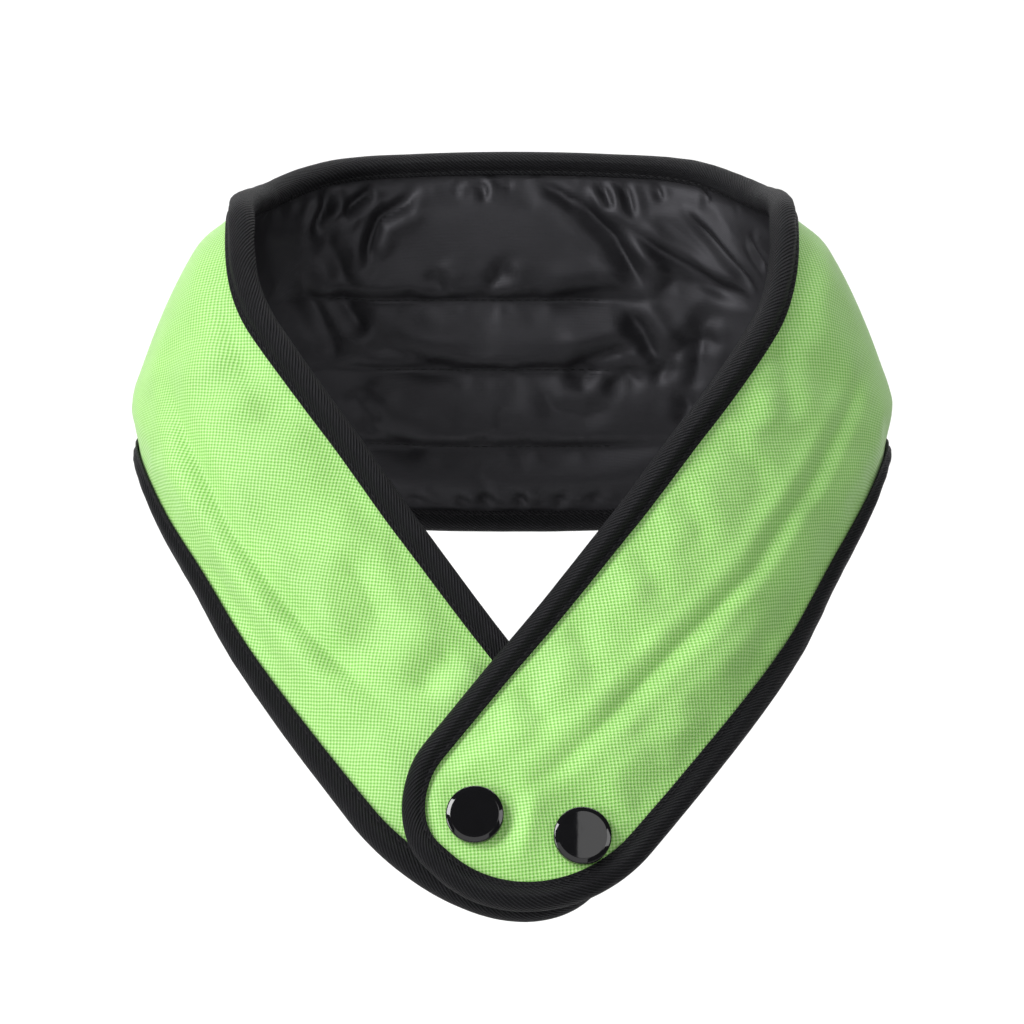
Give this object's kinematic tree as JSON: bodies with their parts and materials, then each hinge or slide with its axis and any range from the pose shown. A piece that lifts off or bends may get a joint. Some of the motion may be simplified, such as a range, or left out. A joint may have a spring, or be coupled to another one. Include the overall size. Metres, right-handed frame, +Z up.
{
  "type": "cooling neck wrap",
  "caption": "Padded neck wrap with a mesh outer face, quilted inner lining and bound edges, closed in front where one rounded flap snaps over the other.",
  "frame": {"origin": "on the neck's axis in the middle of the neck opening, level with the lower edge where it rests on the shoulders", "axes": "+Z up along the neck, -Y towards the front where the flaps close, +X towards the wearer's left"},
  "size_m": [0.215, 0.1818, 0.1966],
  "materials": {
    "shell_mesh": "pique knit with small dimples, matte",
    "lining": "smooth woven nylon with a soft shine",
    "binding": "folded twill tape, matte",
    "snap": "polished"
  },
  "bodies": {
    "root": {"outer_shell": "shell_mesh", "inner_lining": "lining", "edge_binding": "binding", "snap_cap_left": "snap", "snap_cap_right": "snap", "snap_stud_left": "snap", "snap_stud_right": "snap"}
  },
  "joints": []
}
